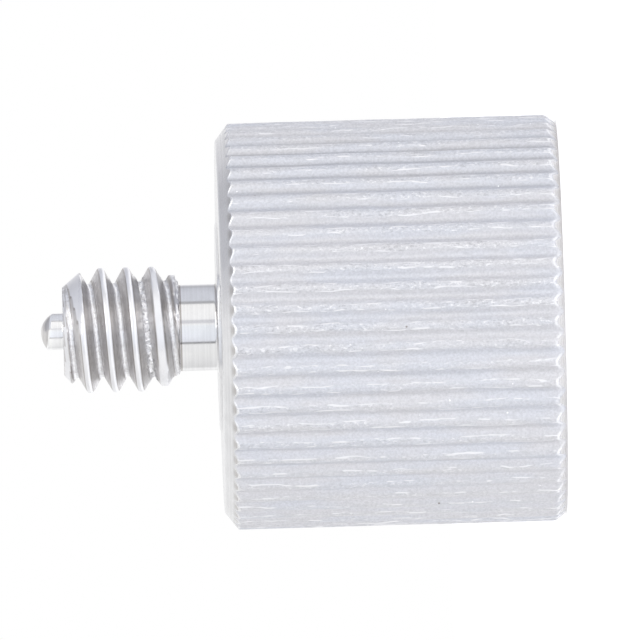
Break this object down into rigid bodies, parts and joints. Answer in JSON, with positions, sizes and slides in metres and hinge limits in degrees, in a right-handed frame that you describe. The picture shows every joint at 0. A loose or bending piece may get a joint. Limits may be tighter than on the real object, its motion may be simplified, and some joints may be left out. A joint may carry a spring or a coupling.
{
  "type": "tripod thread adapter",
  "caption": "Knurled round aluminium thread adapter: a small threaded stud on one end, and a larger threaded socket in the other.",
  "frame": {"origin": "centre of the open end face, on the axis", "axes": "+Z along the axis from the socket's open end towards the stud; X and Y are across it"},
  "size_m": [0.0202, 0.0202, 0.0259],
  "materials": {
    "aluminium": "bare turned and knurled aluminium, satin on the knurl and brighter on the turned neck"
  },
  "bodies": {
    "root": {"adapter": "aluminium"}
  },
  "joints": []
}
